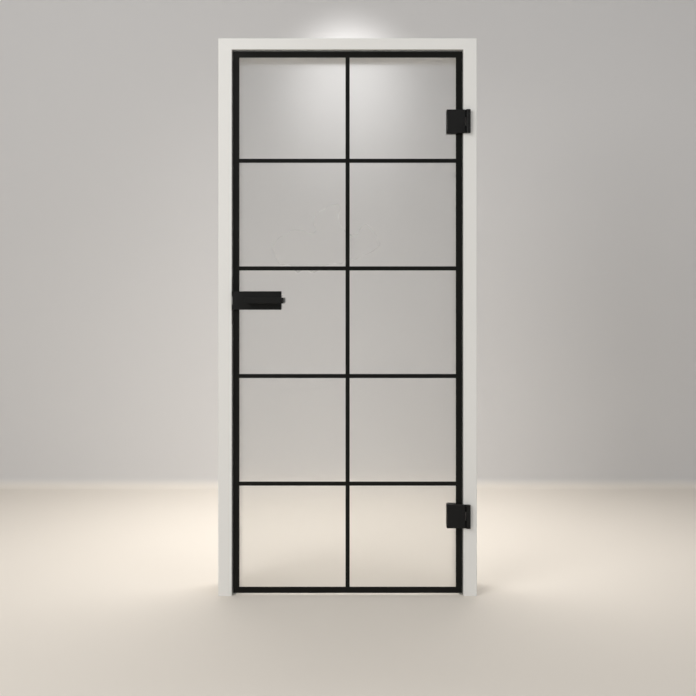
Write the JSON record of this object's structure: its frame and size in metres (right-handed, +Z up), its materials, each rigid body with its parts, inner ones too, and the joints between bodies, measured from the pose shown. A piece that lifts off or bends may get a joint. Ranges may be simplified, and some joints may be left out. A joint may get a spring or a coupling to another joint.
{
  "type": "glass door",
  "caption": "All-glass swing door with printed black bars, black hinges and lever lock, hung in a white wrap-around frame.",
  "frame": {"origin": "on the finished floor, under the middle of the whole door: half way across the opening, and half way between the front lever's face and the rear casing's face", "axes": "+X across the opening towards the hinges, +Y through the wall away from the side the leaf opens to, +Z up"},
  "size_m": [0.939, 0.224, 2.024],
  "materials": {
    "white_lacquer": "white lacquer on timber board, satin",
    "seal_rubber": "light grey matte",
    "beech": "plain beech",
    "zinc_steel": "zinc plated",
    "satin_steel": "satin nickel plated",
    "satin_glass": "toughened, satin etched on the back",
    "black_enamel": "fired black enamel print",
    "black_powder_coat": "fine matte black powder coat",
    "clear_gasket": "translucent soft plastic",
    "black_nylon": "black nylon"
  },
  "bodies": {
    "frame": {"lining_hinge_side": "white_lacquer", "lining_latch_side": "white_lacquer", "lining_head": "white_lacquer", "casing_front_hinge_side": "white_lacquer", "casing_front_latch_side": "white_lacquer", "casing_front_head": "white_lacquer", "casing_rear_hinge_side": "white_lacquer", "casing_rear_latch_side": "white_lacquer", "casing_rear_head": "white_lacquer", "seal_hinge_side": "seal_rubber", "seal_latch_side": "seal_rubber", "seal_head": "seal_rubber", "corner_dowels": "beech", "corner_cams": "zinc_steel", "corner_bolts": "zinc_steel", "strike_plate": "satin_steel", "strike_screws": "zinc_steel", "hinge_receiver_upper": "zinc_steel", "hinge_receiver_lower": "zinc_steel", "receiver_screws": "zinc_steel", "hinge_frame_part_upper": "black_powder_coat", "hinge_frame_part_lower": "black_powder_coat", "hinge_pins": "zinc_steel"},
    "leaf": {"glass_pane": "satin_glass", "printed_bars": "black_enamel", "hinge_plate_upper": "black_powder_coat", "hinge_plate_lower": "black_powder_coat", "hinge_cover_upper": "black_powder_coat", "hinge_cover_lower": "black_powder_coat", "hinge_counter_plate_upper": "black_powder_coat", "hinge_counter_plate_lower": "black_powder_coat", "hinge_rear_cover_upper": "black_powder_coat", "hinge_rear_cover_lower": "black_powder_coat", "hinge_gaskets": "clear_gasket", "hinge_sleeves": "black_nylon", "hinge_bushes": "black_nylon", "hinge_end_caps": "black_powder_coat", "hinge_clamp_screws": "zinc_steel", "lock_case": "black_powder_coat", "lock_cover": "black_powder_coat", "lock_back_plate": "zinc_steel", "lock_counter_plate": "zinc_steel", "lock_rear_cover": "black_powder_coat", "lock_gaskets": "clear_gasket", "lock_sleeves": "black_nylon", "lock_clamp_screws": "zinc_steel", "latch_spring": "zinc_steel"},
    "handle": {"follower": "satin_steel", "spindle": "zinc_steel", "lever_front": "black_powder_coat", "lever_rear": "black_powder_coat", "lever_grub_screws": "zinc_steel"},
    "latch": {"latch_bolt": "satin_steel"}
  },
  "joints": [
    {"name": "door_swing", "type": "hinge", "parent": "frame", "child": "leaf", "pos_m": [0.437, -0.074, 1], "axis": [0, 0, 1], "range_deg": [0, 170]},
    {"name": "lever_turn", "type": "hinge", "parent": "leaf", "child": "handle", "pos_m": [-0.361, -0.06, 1.072], "axis": [0, 1, 0], "range_deg": [0, 35], "stiffness_Nm_per_rad": 1.2, "springref_deg": -14.32},
    {"name": "latch_slide", "type": "slide", "parent": "leaf", "child": "latch", "axis": [1, 0, 0], "range_m": [0, 0.0099], "deforming": ["latch_spring"]}
  ],
  "couplings": [
    {"joint": "latch_slide", "follows": "lever_turn", "m_per_rad": 0.015962}
  ]
}
